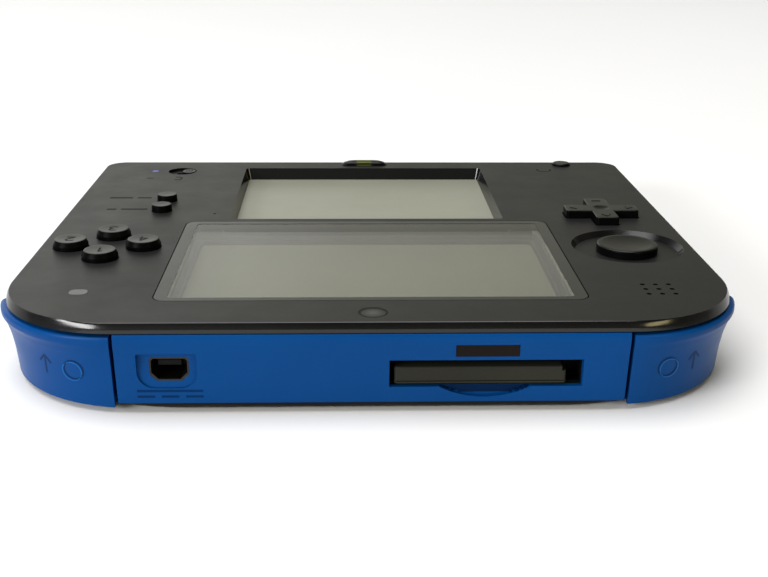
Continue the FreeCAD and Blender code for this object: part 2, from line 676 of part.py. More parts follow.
def game_card():
    x0, x1, z0, z1 = CARD
    card = box(x0, x1, CARD_Y[0], CARD_Y[1], z0, z1)
    front = [e for e in card.Edges if e.BoundBox.YMin > CARD_Y[1] - 0.1 and e.BoundBox.ZLength > 1]
    card = card.makeFillet(0.6, front)
    card = card.makeFillet(0.3, [e for e in card.Edges if e.BoundBox.XLength > x1 - x0 - 1.5])
    card = card.cut(box(x0 - 1, x1 + 1, CARD_Y[1] - 0.25, 70, z0 + 0.45, z0 + 0.7))
    card = card.cut(box(x0 - 1, x0 + 0.8, CARD_Y[0] - 1, 70, z1 - 0.9, z1 + 1))
    return card.cut(box(x0 + 2.4, x1 - 2.4, CARD_Y[0] - 1, CARD_Y[0] + 4.5, z0 - 1, z0 + 0.5))


def card_slot():
    area = (CARD[0] - 1.3, CARD[1] + 1.3, CARD[2] - 0.65, CARD[3] + 0.85)
    room = (CARD[0] - 0.4, CARD[1] + 0.4, CARD[2] - 0.12, CARD[3] + 0.35)
    front = (SLOT[0] - 0.5, SLOT[1] + 0.5, CARD[2] - 0.65, SLOT[3] + 0.6)
    mouth = (SLOT[0] + 0.1, SLOT[1] - 0.1, CARD[2] - 0.12, SLOT[3])
    housing = wall_block(area, 24.6, 60.7).fuse(wall_block(front, 55.4, 60.7))
    return housing.cut(wall_block(room, 26.0, 70)).cut(wall_block(mouth, 56.0, 70)).removeSplitter()


def charge_port_shell():
    return port_tube(0.02, 54.0, 62.0).cut(port_tube(0.32, 54.8, 63))


def port_tube(inset, y0, y1):
    x0, x1, z0, z1 = PORT_SHELL
    x0, x1, z0, z1 = x0 + inset, x1 - inset, z0 + inset, z1 - inset
    top, low = PORT_SHELL_TOP_CUT, PORT_SHELL_LOW_CUT
    upper = ((x0, z1 - top), (x0 + top, z1), (x1 - top, z1), (x1, z1 - top))
    lower = ((x1, z0 + low), (x1 - low, z0), (x0 + low, z0), (x0, z0 + low))
    face = Part.Face(Part.makePolygon([Vector(x, y0, z) for x, z in upper + lower + upper[:1]]))
    return face.extrude(Vector(0, y1 - y0, 0))


def charge_port_tongue():
    x = (PORT_SHELL[0] + PORT_SHELL[1]) / 2
    return box(x - 2.1, x + 2.1, 54.8, 60.9, -8.75, -7.75)


def sd_card_door():
    y0, y1, z0, z1 = SD_DOOR
    x, z = SD_PIVOT
    low = z0 + 0.2
    slab = skin(BAND_SECTIONS).common(box(-75, -69.9, y0 + 0.15, y1 - 0.15, low, z1 - 0.15))
    slab = slab.cut(box(-70.4, -69, y0, y1, z1 - 0.5, z1))
    corner = box(-75, x, y0, y1, low - 1, z).cut(rod(z - low, x, z, y0, y1))
    finger_groove = rod(0.7, -71.9, z1 - 0.7, (y0 + y1) / 2 - 3, (y0 + y1) / 2 + 3)
    return slab.cut(corner).cut(finger_groove).fuse(rod(SD_PIN_R, x, z, y0 - 0.8, y1 + 0.8)).removeSplitter()


def sd_card():
    card = box(-69.2, -37.2, -38.3, -14.3, -10.5, -8.4)
    corners = [Vector(-37, -38.5, -11), Vector(-41.4, -38.5, -11), Vector(-37, -34.1, -11)]
    bevel = Part.Face(Part.makePolygon(corners + corners[:1]))
    return card.cut(bevel.extrude(Vector(0, 0, 4)))


def sd_reader():
    shell = box(-66.0, -35.8, -39.3, -13.3, -11.0, -8.0)
    return shell.cut(box(-70, -36.4, -38.6, -14.0, -10.6, -8.3))


def volume_slider():
    y = (VOLUME_Y[0] + VOLUME_Y[1]) / 2
    knob = box(-71.9, -70.2, y - 2.2, y + 2.2, VOLUME_Z - 0.95, VOLUME_Z + 0.95)
    knob = knob.makeFillet(0.35, edges_at(knob, lambda p: p.x < -71.8))
    for i in (-1, 0, 1):
        knob = knob.cut(box(-73, -71.65, y + i * 1.1 - 0.2, y + i * 1.1 + 0.2, VOLUME_Z - 2, VOLUME_Z + 2))
    shoe = box(-70.2, -69.4, y - 2.9, y + 2.9, VOLUME_Z - 0.95, VOLUME_Z + 0.95)
    return fuse(knob, shoe, box(-69.4, -68.4, y - 0.7, y + 0.7, VOLUME_Z - 0.5, VOLUME_Z + 0.5))


def volume_pot():
    y0, y1 = VOLUME_Y
    body = box(-69.2, -66.4, y0, y1, VOLUME_Z - 1.6, VOLUME_Z + 1.3)
    return body.cut(box(-70, -68.0, y0 + 1.3, y1 - 1.3, VOLUME_Z - 0.6, VOLUME_Z + 0.6))


def stylus():
    y0, y1 = STYLUS_Y
    x, z = STYLUS
    shaft = rod(STYLUS_R, x, z, y0 + 1.2, y1 - 6.0)
    cap = Part.makeCone(STYLUS_R - 0.5, STYLUS_R, 1.2, Vector(x, y0, z), Vector(0, 1, 0))
    tip = Part.makeCone(STYLUS_R, 0.6, 6.0, Vector(x, y1 - 6.0, z), Vector(0, 1, 0))
    notch = box(x - 3, x + 3, y0 + 0.9, y0 + 1.9, z - 3, z - STYLUS_R + 0.5)
    return fuse(cap, shaft, tip).cut(notch)


def stylus_holder():
    x, z = STYLUS
    tube = rod(2.42, x, z, -58.5, 22.0)
    return tube.cut(rod(STYLUS_R + 0.1, x, z, -70, 20.8))


def headphone_jack():
    x, z = JACK
    mouth = -62.4
    end = mouth + JACK_LENGTH
    body = box(x - 3.2, x + 3.2, mouth + 1.6, end + 1.6, z - 2.6, z + 2.6)
    collar = rod(2.5, x, z, mouth, mouth + 1.6)
    relief = rod(JACK_R + 0.3, x, z, end, end + 0.9)
    return body.fuse(collar).cut(rod(JACK_R, x, z, -70, end)).cut(relief)


# ---- inside ----


def main_board():
    wide = box(-44.0, 61.0, -0.5, 33.0, *MAIN_BOARD)
    top = box(-44.0, 43.6, 33.0, 60.4, *MAIN_BOARD)
    board = seat(wide.fuse(top).removeSplitter())
    for centre in POSTS:
        board = board.cut(disc(centre, POST_R + 0.2, -1, 30))
    return board.cut(fuse_cameras(4.7))


def fuse_cameras(radius):
    left, right = outer_cameras()
    return disc(left, radius, -1, 30).fuse(disc(right, radius, -1, 30))


def board_chips():
    spots = ((8, 8, 14, 14), (27, 8, 11, 11), (8, 30, 9, 12), (27, 32, 8, 8), (-20, 5, 12, 9), (48, 12, 8, 8))
    low = MAIN_BOARD[1]
    return [box(x - w / 2, x + w / 2, y - h / 2, y + h / 2, low, low + 1.1) for x, y, w, h in spots]


def control_boards():
    right = box(44.2, 68.6, -26.5, 29.5, BOARD_BASE, BOARD_TOP)
    left = box(-67.6, -44.6, -18.6, 6.2, BOARD_BASE, BOARD_TOP)
    low = box(-5.5, 5.5, -60.8, -57.6, -7.2, -6.4)
    power = box(-58.8, -53.3, -60.8, -56.6, -7.2, -6.4)
    sleep = box(44.5, 54.0, -55.5, -47.5, -6.6, -5.8)
    seated = [seat(s) for s in (right, left, low, power, sleep)]
    return [s.cut(all_posts(0.2)) for s in seated]


def all_posts(by):
    tools = [disc(centre, POST_R + by, -1, 30) for centre in POSTS]
    return Part.makeCompound(tools)


def button_membrane():
    sheet = rounded_block((45.0, 68.2, 5.0, 29.0), BOARD_TOP, BOARD_TOP + 0.4, 3.0)
    for centre in FACE_BUTTONS.values():
        sheet = sheet.fuse(disc(centre, 3.1, BOARD_TOP + 0.4, BOARD_TOP + 0.8))
        sheet = sheet.cut(disc(centre, 2.2, -9, 0))
    return sheet


def option_membrane():
    sheet = rounded_block((45.6, 51.9, -25.0, -8.8), BOARD_TOP, BOARD_TOP + 0.4, 2.0)
    for centre in OVAL_BUTTONS.values():
        sheet = sheet.cut(disc(centre, 1.6, -9, 0))
    return sheet


def speaker():
    centre = (SPEAKER[0] + 2.4, SPEAKER[1] - 2.0)
    rim = disc(centre, 6.5, -4.6, -2.0)
    return rim.cut(disc(centre, 5.4, -2.6, 0))


def camera_module():
    return box(CAMERA[0] - 3.4, CAMERA[0] + 3.4, 54.4, 60.6, -5.4, -2.1)


def camera_ring():
    return disc(CAMERA, 2.7, -1.9, -0.02).cut(cone(CAMERA, 1.5, 2.3, -0.7, 0)).cut(disc(CAMERA, 1.5, -3, 1))


def outer_camera_modules():
    modules = []
    for x, y in outer_cameras():
        block = box(x - 3.2, x + 3.2, y - 3.2, y + 3.2, 2.6, 4.4)
        modules.append(disc((x, y), 3.4, 1.1, 4.4).fuse(block))
    return modules


def battery():
    return rounded_block((-28.0, 28.0, -51.0, -11.0), 1.5, 5.7, 1.2)


def battery_contacts():
    block = box(-8.0, 8.0, -10.6, -8.0, 1.6, 5.2)
    blades = [box(x - 0.4, x + 0.4, -10.95, -10.6, 2.4, 4.8) for x in (-5.0, 0.0, 5.0)]
    return [block] + blades


def keep(name, solids, seated=True):
    """Stores one node, moving face-frame solids to the row frame."""
    group = solids if isinstance(solids, list) else [solids]
    placed = [seat(s) if seated else s for s in group]
    parts[name] = placed[0] if len(placed) == 1 else Part.makeCompound(placed)


def build():
    keep("front_case", front_case(), False)
    keep("side_band", side_band(), False)
    keep("rear_cover", rear_cover(), False)
    keep("battery_cover", battery_cover(), False)
    keep("case_screws", [screw(c, 0.9, 9.0) for c in POSTS], False)
    keep("battery_cover_screws", [screw(c, 0.05, 4.2) for c in DOOR_SCREWS], False)
    keep("upper_bezel", upper_bezel())
    keep("upper_window", upper_window())
    keep("touch_panel", rounded_block((-33.8, 33.8, -56.0, -3.9), -3.95, -TOUCH_DEPTH - 0.02, 0.8))
    keep("screen_spacer", screen_spacer())
    keep("lcd_panel", rounded_block((-42.2, 42.2, -57.0, 52.2), LCD_BASE, LCD_TOP, 0.8))
    tray = rounded_block((-42.8, 42.8, -57.2, 52.8), LCD_FRAME_BASE, LCD_TOP - 0.4, 1.0)
    keep("lcd_frame", tray.cut(rounded_block((-42.25, 42.25, -57.05, 52.25), LCD_BASE, 0, 0.8)))
    for letter, centre in FACE_BUTTONS.items():
        button = round_button(centre, BUTTON_R, BUTTON_TAPER, BUTTON_HEIGHT, BUTTON_TRAVEL, 0.1)
        keep("button_" + letter, button)
    for word, centre in OVAL_BUTTONS.items():
        keep(word + "_button", round_button(centre, OVAL_R, OVAL_TAPER, OVAL_HEIGHT, 0.7, 0.05))
    keep("button_membranes", [button_membrane(), option_membrane()])
    keep("dpad", dpad())
    keep("dpad_pivot", Part.makeSphere(1.34, Vector(*DPAD, DPAD_PIVOT_Z)))
    keep("dpad_membrane", dpad_membrane())
    keep("circle_pad_cap", circle_pad_cap())
    keep("circle_pad_carriage", circle_pad_carriage())
    keep("circle_pad_housing", circle_pad_housing())
    keep("home_button", home_button())
    keep("power_button", power_button())
    keep("sleep_slider", sleep_slider())
    keep("switches", switches())
    keep("right_shoulder_button", shoulder_button(), False)
    keep("left_shoulder_button", mirror_x(shoulder_button()), False)
    keep("shoulder_hinge_pins", hinge_pins())
    keep("shoulder_springs", shoulder_springs())
    keep("game_card", game_card())
    keep("card_slot", card_slot())
    keep("charge_port_shell", charge_port_shell())
    keep("charge_port_tongue", charge_port_tongue())
    keep("infrared_window", wall_block(grow(IR, -0.05), 61.3, 63.1))
    keep("sd_card_door", sd_card_door())
    keep("sd_card", sd_card())
    keep("sd_reader", sd_reader())
    keep("volume_slider", volume_slider())
    keep("volume_pot", volume_pot())
    keep("stylus", stylus())
    keep("stylus_holder", stylus_holder())
    keep("headphone_jack", headphone_jack())
    keep("notice_led_lens", rounded_block(notice_area(0), -1.9, 0.02, 1.2))
    keep("power_led_lens", disc(POWER_LED, 0.9, -1.9, 0))
    keep("inner_camera_ring", camera_ring())
    keep("inner_camera_lens", disc(CAMERA, 1.48, -1.9, -0.75))
    keep("inner_camera_module", camera_module())
    keep("outer_camera_windows", [disc(c, 3.6, 0.05, 1.05) for c in outer_cameras()], False)
    keep("outer_camera_modules", outer_camera_modules(), False)
    keep("main_board", main_board(), False)
    keep("board_chips", board_chips())
    keep("control_boards", control_boards(), False)
    keep("speaker", speaker())
    keep("microphone", disc(MIC, 2.0, -4.6, -2.1).cut(disc(MIC, 0.4, -2.6, 0)))
    keep("battery", battery(), False)
    keep("battery_contacts", battery_contacts(), False)


def export():
    os.makedirs("parts", exist_ok=True)
    for name, shape in parts.items():
        shape.exportStep("parts/" + name + ".step")
    whole = Part.makeCompound(list(parts.values())).BoundBox
    print("nodes", len(parts), "box", whole)


build()
export()
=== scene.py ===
"""Looks of the two-screen handheld game console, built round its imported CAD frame.

Sizes are in millimetres in the face frame (x to the user's right, y towards the shoulder
edge, z out of the face), which is worked out from the frame's own nodes and joints. Lights,
the floor and grain depths are in metres, and noise scales are in patches to a metre. Every mesh
ends up in metres in the row frame.
"""
import bmesh
import bpy
import json
import math
from mathutils import Matrix, Vector
from mathutils.bvhtree import BVHTree


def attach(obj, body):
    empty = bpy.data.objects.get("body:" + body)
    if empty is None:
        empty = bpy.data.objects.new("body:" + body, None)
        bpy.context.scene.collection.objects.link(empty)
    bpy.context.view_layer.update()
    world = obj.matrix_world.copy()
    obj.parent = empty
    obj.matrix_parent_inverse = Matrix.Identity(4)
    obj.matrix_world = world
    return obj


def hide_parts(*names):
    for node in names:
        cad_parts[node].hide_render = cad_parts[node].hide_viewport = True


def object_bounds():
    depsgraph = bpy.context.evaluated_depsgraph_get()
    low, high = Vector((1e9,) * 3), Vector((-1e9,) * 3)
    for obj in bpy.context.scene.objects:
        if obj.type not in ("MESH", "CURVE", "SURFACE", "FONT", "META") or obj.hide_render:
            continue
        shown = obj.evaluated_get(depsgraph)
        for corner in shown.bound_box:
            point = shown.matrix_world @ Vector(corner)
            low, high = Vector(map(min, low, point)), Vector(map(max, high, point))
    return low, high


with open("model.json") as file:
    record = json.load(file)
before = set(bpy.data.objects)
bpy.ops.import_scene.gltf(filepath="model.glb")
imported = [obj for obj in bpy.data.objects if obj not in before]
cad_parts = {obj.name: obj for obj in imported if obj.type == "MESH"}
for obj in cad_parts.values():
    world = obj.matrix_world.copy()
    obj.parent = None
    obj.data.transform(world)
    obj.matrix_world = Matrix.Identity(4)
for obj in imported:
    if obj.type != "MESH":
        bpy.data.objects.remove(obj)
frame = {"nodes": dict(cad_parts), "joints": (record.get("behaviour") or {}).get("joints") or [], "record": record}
cad_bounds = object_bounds()

MM = 0.001
nodes = frame["nodes"]
joints = {joint["name"]: joint for joint in frame["joints"]}
bodies = frame["record"]["behaviour"]["bodies"]
body_of_node = {node: body for body, members in bodies.items() for node in members}

# ---- the face frame ----

OUT = -Vector(joints["button_a_press"]["axis"]).normalized()
UP = Vector(joints["game_card_slide"]["axis"]).normalized()
RIGHT = UP.cross(OUT).normalized()
FACE_TURN = Matrix((RIGHT, UP, OUT)).transposed().to_4x4()


def span(points, axis):
    """Lowest and highest value of some points along an axis."""
    values = [point.dot(axis) for point in points]
    return min(values), max(values)


def face_origin():
    """The middle of the flat face, from the front case's own extent."""
    points = [v.co for v in nodes["front_case"].data.vertices]
    low, high = span(points, UP)
    return UP * (low + high) / 2 + OUT * span(points, OUT)[1]


TO_ROW = Matrix.Translation(face_origin()) @ FACE_TURN @ Matrix.Scale(MM, 4)
TO_FACE = TO_ROW.inverted()


def at(x, y, z=0.0):
    """A point of the face frame in the row frame."""
    return TO_ROW @ Vector((x, y, z))


def face_box(node):
    """Lowest and highest corner of a node in the face frame."""
    points = [TO_FACE @ v.co for v in nodes[node].data.vertices]
    low = Vector([min(p[i] for p in points) for i in range(3)])
    high = Vector([max(p[i] for p in points) for i in range(3)])
    return low, high


def centre_of(node):
    """The middle of a node in the face frame."""
    low, high = face_box(node)
    return (low + high) / 2


def add_object(name, data):
    """Puts a mesh, a camera or a light in the scene as an object."""
    made = bpy.data.objects.new(name, data)
    bpy.context.scene.collection.objects.link(made)
    return made


# ---- camera, floor and light ----

# The camera: its lens, its place in the face frame, and its angles in radians.
LENS = 54.29
SENSOR_WIDTH = 36.0
CAMERA_AT = (5.0, 256.2, 74.5)
CAMERA_YAW = -0.0351
CAMERA_PITCH = 0.3381
CAMERA_ROLL = 0.0083

# Colour of the surroundings from the left of the object to its right, and from level to overhead.
WORLD_ACROSS = (
    (0.00, (0.12, 0.11, 0.09)),
    (0.34, (0.25, 0.245, 0.19)),
    (0.50, (0.48, 0.485, 0.42)),
    (0.66, (1.06, 1.06, 1.00)),
    (0.77, (1.60, 1.60, 1.62)),
    (0.87, (0.60, 0.60, 0.62)),
    (1.00, (0.20, 0.20, 0.20)),
)
WORLD_HEIGHT = (
    (0.00, (1.35, 1.35, 1.35)),
    (0.20, (1.22, 1.22, 1.22)),
    (0.35, (0.94, 0.94, 0.94)),
    (0.50, (0.70, 0.70, 0.70)),
    (0.72, (0.12, 0.12, 0.12)),
    (1.00, (0.08, 0.08, 0.08)),
)
# The same from the far side of the object to the camera's side.
WORLD_DEPTH = (
    (0.00, (1.00, 1.00, 1.00)),
    (0.55, (1.00, 1.00, 1.00)),
    (0.70, (0.35, 0.35, 0.35)),
    (1.00, (0.35, 0.35, 0.35)),
)

# The Mix node's sockets for colours: the share of the second one, the two that are mixed, and the outcome.
MIX_SHARE, MIX_FIRST, MIX_SECOND = 0, 6, 7
MIX_OUTCOME = 2

# The floor, in metres: it lies just under the object.
FLOOR_HALF_SIZE = 3.0
FLOOR_SQUARES = 8
FLOOR_GAP = 0.0002


def add_camera():
    data = bpy.data.cameras.new("camera")
    data.lens = LENS
    data.sensor_width = SENSOR_WIDTH
    data.clip_start = 0.01
    data.clip_end = 20.0
    camera = add_object("camera", data)
    pitch, yaw, roll = CAMERA_PITCH, CAMERA_YAW, CAMERA_ROLL
    forward = Vector((math.sin(yaw) * math.cos(pitch), -math.cos(yaw) * math.cos(pitch), -math.sin(pitch)))
    level = Vector((-math.cos(yaw), -math.sin(yaw), 0))
    above = level.cross(forward)
    right = level * math.cos(roll) + above * math.sin(roll)
    up = above * math.cos(roll) - level * math.sin(roll)
    turn = TO_ROW.to_3x3().normalized()
    axes = Matrix((turn @ right, turn @ up, turn @ -forward)).transposed().to_4x4()
    camera.matrix_world = Matrix.Translation(at(*CAMERA_AT)) @ axes
    bpy.context.scene.camera = camera


def area_light(name, where, aim, size, power, colour=(1, 1, 1)):
    """A rectangular light at one place of the row frame, turned to another."""
    data = bpy.data.lights.new(name, "AREA")
    data.shape = "RECTANGLE"
    data.size, data.size_y = size
    data.energy = power
    data.color = colour
    light = add_object(name, data)
    light.location = Vector(where)
    light.rotation_euler = (Vector(aim) - Vector(where)).to_track_quat("-Z", "Y").to_euler()


def add_lights():
    """A soft light overhead, and a low one out from each shoulder button, for the gloss on the corners."""
    area_light("overhead", where=(0.5, 0.05, 2.15), aim=(0, 0, 0), size=(2.4, 2.4), power=61.0)
    area_light(
        "right_spark", where=(0.72, 0.70, 0.39), aim=(0.053, 0.06, 0.016), size=(0.56, 0.22), power=7.4
    )
    area_light(
        "left_spark",
        where=(-0.65, 0.77, 0.40),
        aim=(-0.053, 0.06, 0.016),
        size=(0.36, 0.2),
        power=1.5,
        colour=(1.0, 0.84, 0.45),
    )


def add_world():
    """A dim ceiling over a soft horizon that is bright on the right-hand side of the object."""
    world = bpy.data.worlds.new("studio")
    bpy.context.scene.world = world
    world.use_nodes = True
    tree = world.node_tree
    split = tree.nodes.new("ShaderNodeSeparateXYZ")
    tree.links.new(tree.nodes.new("ShaderNodeTexCoord").outputs["Generated"], split.inputs[0])
    across = world_ramp(tree, split.outputs["X"], -1.0, WORLD_ACROSS)
    height = world_ramp(tree, split.outputs["Z"], 0.0, WORLD_HEIGHT)
    depth = world_ramp(tree, split.outputs["Y"], -1.0, WORLD_DEPTH)
    tree.links.new(times(tree, times(tree, across, height), depth), tree.nodes["Background"].inputs["Color"])


def world_ramp(tree, value, lowest, stops):
    """A colour ramp over one part of the direction, from its lowest value to 1."""
    spread = tree.nodes.new("ShaderNodeMapRange")
    spread.inputs["From Min"].default_value = lowest
    tree.links.new(value, spread.inputs["Value"])
    ramp = tree.nodes.new("ShaderNodeValToRGB")
    tree.links.new(spread.outputs["Result"], ramp.inputs["Fac"])
    set_stops(ramp.color_ramp.elements, stops)
    return ramp.outputs["Color"]


def set_stops(elements, stops):
    """Sets a colour ramp's stops, given as (position, colour)."""
    while len(elements) < len(stops):
        elements.new(1.0)
    for element, (position, colour) in zip(elements, stops):
        element.position = position
        element.color = (*colour, 1.0)


def times(tree, first, second):
    """One colour multiplied by another."""
    product = tree.nodes.new("ShaderNodeMix")
    product.data_type = "RGBA"
    product.blend_type = "MULTIPLY"
    product.inputs[MIX_SHARE].default_value = 1.0
    tree.links.new(first, product.inputs[MIX_FIRST])
    tree.links.new(second, product.inputs[MIX_SECOND])
    return product.outputs[MIX_OUTCOME]


def add_floor():
    mesh = bpy.data.meshes.new("floor")
    grid = bmesh.new()
    bmesh.ops.create_grid(grid, x_segments=FLOOR_SQUARES, y_segments=FLOOR_SQUARES, size=FLOOR_HALF_SIZE)
    grid.to_mesh(mesh)
    grid.free()
    floor = add_object("floor", mesh)
    floor.location.z = cad_bounds[0].z - FLOOR_GAP
    surface = Material("floor")
    surface.colour(surface.blend(surface.noise(6.0), grey(0.86), grey(0.90)))
    surface.roughness(0.8)
    mesh.materials.append(surface.material)


# ---- material building blocks ----


class Material:
    """A node material with one Principled shader; pattern values are made by chained nodes."""

    def __init__(self, name, **sockets):
        self.material = bpy.data.materials.new(name)
        self.material.use_nodes = True
        self.tree = self.material.node_tree
        self.shader = self.tree.nodes["Principled BSDF"]
        self.place = self.tree.nodes.new("ShaderNodeTexCoord").outputs["Object"]
        for socket, value in sockets.items():
            self.shader.inputs[socket.replace("_", " ")].default_value = value

    def node(self, kind, inputs=None, **settings):
        made = self.tree.nodes.new("ShaderNode" + kind)
        for key, value in settings.items():
            setattr(made, key, value)
        for key, value in (inputs or {}).items():
            self.feed(made.inputs[key], value)
        return made

    def feed(self, socket, value):
        """Links another node's output to a socket, or sets the socket to a plain value."""
        if isinstance(value, bpy.types.NodeSocket):
            self.tree.links.new(value, socket)
        else:
            socket.default_value = value

    def noise(self, scale, detail=3.0, roughness=0.5):
        inputs = {"Vector": self.place, "Scale": scale, "Detail": detail, "Roughness": roughness}
        return self.node("TexNoise", inputs).outputs["Fac"]

    def remap(self, value, source, target=(0.0, 1.0)):
        """Spreads a value's source range over the target range, and holds it at both ends."""
        inputs = {"Value": value, "From Min": source[0], "From Max": source[1]}
        inputs |= {"To Min": target[0], "To Max": target[1]}
        return self.node("MapRange", inputs, clamp=True).outputs["Result"]

    def maths(self, operation, a, b):
        return self.node("Math", {0: a, 1: b}, operation=operation).outputs[0]

    def blend(self, share, first, second):
        """The first colour where the share is 0, the second where it is 1."""
        made = self.node("Mix", data_type="RGBA")
        self.feed(made.inputs[MIX_SHARE], share)
        self.feed(made.inputs[MIX_FIRST], first)
        self.feed(made.inputs[MIX_SECOND], second)
        return made.outputs[MIX_OUTCOME]

    def facing(self, direction, low, high):
        """0 where the surface leans away from a direction of the object, 1 where it faces it."""
        normal = self.node("TexCoord").outputs["Normal"]
        lean = self.node("VectorMath", {0: normal, 1: tuple(direction)}, operation="DOT_PRODUCT")
        return self.remap(lean.outputs["Value"], (low, high))

    def colour(self, value):
        self.feed(self.shader.inputs["Base Color"], value)

    def roughness(self, value):
        self.feed(self.shader.inputs["Roughness"], value)

    def gloss(self, value):
        self.feed(self.shader.inputs["Specular IOR Level"], value)

    def bump(self, height, distance, strength):
        made = self.node("Bump", {"Height": height, "Distance": distance, "Strength": strength})
        self.feed(self.shader.inputs["Normal"], made.outputs["Normal"])


def grey(level):
    return (level, level, level, 1.0)


def greys(low, high):
    """Two close greys."""
    return grey(low), grey(high)


# ---- finishes ----

# Moulded grain: how many grains to a metre, and how deep they are in metres.
FINE_GRAIN = (1700.0, 0.00001)
SHALLOW_GRAIN = (1400.0, 0.00001)
PLAIN_GRAIN = (1400.0, 0.00002)
BOARD_GRAIN = (900.0, 0.00002)
COARSE_GRAIN = (900.0, 0.00003)
GRAIN_STRENGTH = 0.35

# Slow colour drift and uneven sheen: how many patches to a metre.
DRIFT_SCALE = 35.0
SMEAR_SCALE = 90.0

# Each plastic's darker and lighter colour, roughness, grain and gloss.
PLASTICS = {
    "shell_blue": ((0.0007, 0.047, 0.192, 1), (0.0008, 0.052, 0.207, 1), 0.32, FINE_GRAIN, 0.07),
    # Painted shade: a darker blue for the moulded signs on the blue walls, standing for the shade in their
    # grooves.
    "groove_shade_blue": ((0.0006, 0.020, 0.085, 1), (0.0008, 0.026, 0.10, 1), 0.4, FINE_GRAIN, 0.05),
    # Painted shade: a dark blue for the hollow under the card slot.
    "painted_shade_blue": ((0.0004, 0.012, 0.052, 1), (0.0005, 0.015, 0.060, 1), 0.4, FINE_GRAIN, 0.05),
    # Painted highlight: a lighter blue along the edge of the ring on each shoulder button.
    "painted_highlight_blue": ((0.004, 0.10, 0.33, 1), (0.005, 0.11, 0.36, 1), 0.3, FINE_GRAIN, 0.1),
    "mark_dark": (*greys(0.010, 0.016), 0.6, SHALLOW_GRAIN, 0.08),
    "mark_green": ((0.10, 0.12, 0.004, 1), (0.13, 0.15, 0.006, 1), 0.4, SHALLOW_GRAIN, 0.2),
    "rear_black": (*greys(0.003, 0.005), 0.5, COARSE_GRAIN, 0.12),
    "bezel_black": (*greys(0.010, 0.013), 0.24, SHALLOW_GRAIN, 0.62),
    "connector_black": (*greys(0.002, 0.004), 0.5, PLAIN_GRAIN, 0.1),
    "chip_black": (*greys(0.012, 0.02), 0.5, PLAIN_GRAIN, 0.4),
    "screen_grey": (*greys(0.12, 0.13), 0.75, SHALLOW_GRAIN, 0.1),
    "rubber_grey": (*greys(0.14, 0.18), 0.7, PLAIN_GRAIN, 0.3),
    "card_grey": ((0.020, 0.020, 0.015, 1), (0.024, 0.024, 0.018, 1), 0.5, PLAIN_GRAIN, 0.12),
    "smoked_window": ((0.009, 0.007, 0.0065, 1), (0.011, 0.008, 0.0075, 1), 0.2, SHALLOW_GRAIN, 0.05),
    "battery_wrap": (*greys(0.02, 0.03), 0.4, SHALLOW_GRAIN, 0.4),
    "board_green": ((0.01, 0.08, 0.03, 1), (0.015, 0.10, 0.04, 1), 0.4, BOARD_GRAIN, 0.4),
    "lens_glass": ((0.05, 0.05, 0.048, 1), (0.06, 0.06, 0.058, 1), 0.12, SHALLOW_GRAIN, 0.6),
    "led_clear": (*greys(0.09, 0.11), 0.3, SHALLOW_GRAIN, 0.4),
    "led_blue": ((0.05, 0.06, 0.30, 1), (0.06, 0.07, 0.36, 1), 0.3, SHALLOW_GRAIN, 0.4),
    "touch_film": ((0.262, 0.265, 0.212, 1), (0.272, 0.275, 0.220, 1), 0.36, SHALLOW_GRAIN, 0.5),
    "lcd_glass": ((0.174, 0.178, 0.138, 1), (0.182, 0.186, 0.144, 1), 0.4, SHALLOW_GRAIN, 0.2),
}

# Each metal's darker and lighter colour, and roughness.
METALS = {
    "steel": (*greys(0.45, 0.55), 0.35),
    "screw_steel": (*greys(0.10, 0.14), 0.35),
    "connector_metal": ((0.035, 0.033, 0.028, 1), (0.05, 0.047, 0.04, 1), 0.45),
    "gold": ((0.7, 0.45, 0.15, 1), (0.8, 0.5, 0.2, 1), 0.3),
}


def satin_plastic(name, dark, light, roughness, grain=PLAIN_GRAIN, **sockets):
    """Moulded plastic: slow colour drift, fine moulded grain and faint uneven sheen."""
    made = Material(name, **sockets)
    drift = made.noise(DRIFT_SCALE, detail=4.0)
    made.colour(made.blend(made.remap(drift, (0.35, 0.65)), dark, light))
    smear = made.noise(SMEAR_SCALE, detail=5.0, roughness=0.6)
    made.roughness(made.remap(smear, (0.3, 0.7), (roughness - 0.04, roughness + 0.05)))
    grain_scale, grain_depth = grain
    made.bump(made.noise(grain_scale, detail=2.0), grain_depth, GRAIN_STRENGTH)
    return made


def make_materials():
    """Every finish by name: the record's material slots, and the finishes that only the looks have."""
    made = {}
    for name, (dark, light, roughness, grain, gloss) in PLASTICS.items():
        plastic = satin_plastic(name, dark, light, roughness, grain, Specular_IOR_Level=gloss)
        made[name] = plastic.material
    for name, (dark, light, roughness) in METALS.items():
        made[name] = satin_plastic(name, dark, light, roughness, Metallic=1.0).material
    made["face_black"] = face_plastic()
    made["control_black"] = control_plastic()
    made["clear_lens"] = clear_lens()
    made["camera_window"] = camera_window()
    return made


def face_plastic():
    """Black plastic, finely textured on the flat face and smooth on its bevel and round the holes."""
    made = satin_plastic("face_black", grey(0.0035), grey(0.0050), 0.46, Specular_IOR_Level=0.5)
    flat = made.facing(OUT, 0.93, 0.99)
    textured = made.shader.inputs["Roughness"].links[0].from_socket
    smooth = made.remap(flat, (0.0, 1.0), (0.17, 0.0))
    made.roughness(made.maths("ADD", made.maths("MULTIPLY", textured, flat), smooth))
    sideways = made.maths("ADD", made.facing(RIGHT, 0.44, 0.62), made.facing(-RIGHT, 0.44, 0.62))
    made.gloss(made.remap(sideways, (0.0, 1.0), (0.5, 0.12)))
    return made.material


def control_plastic():
    """Black plastic of the buttons: satin on top, and dull and darker down their sides."""
    made = satin_plastic("control_black", grey(0.0018), grey(0.0026), 0.32)
    made.gloss(made.remap(made.facing(OUT, 0.55, 0.95), (0.0, 1.0), (0.03, 0.45)))
    return made.material


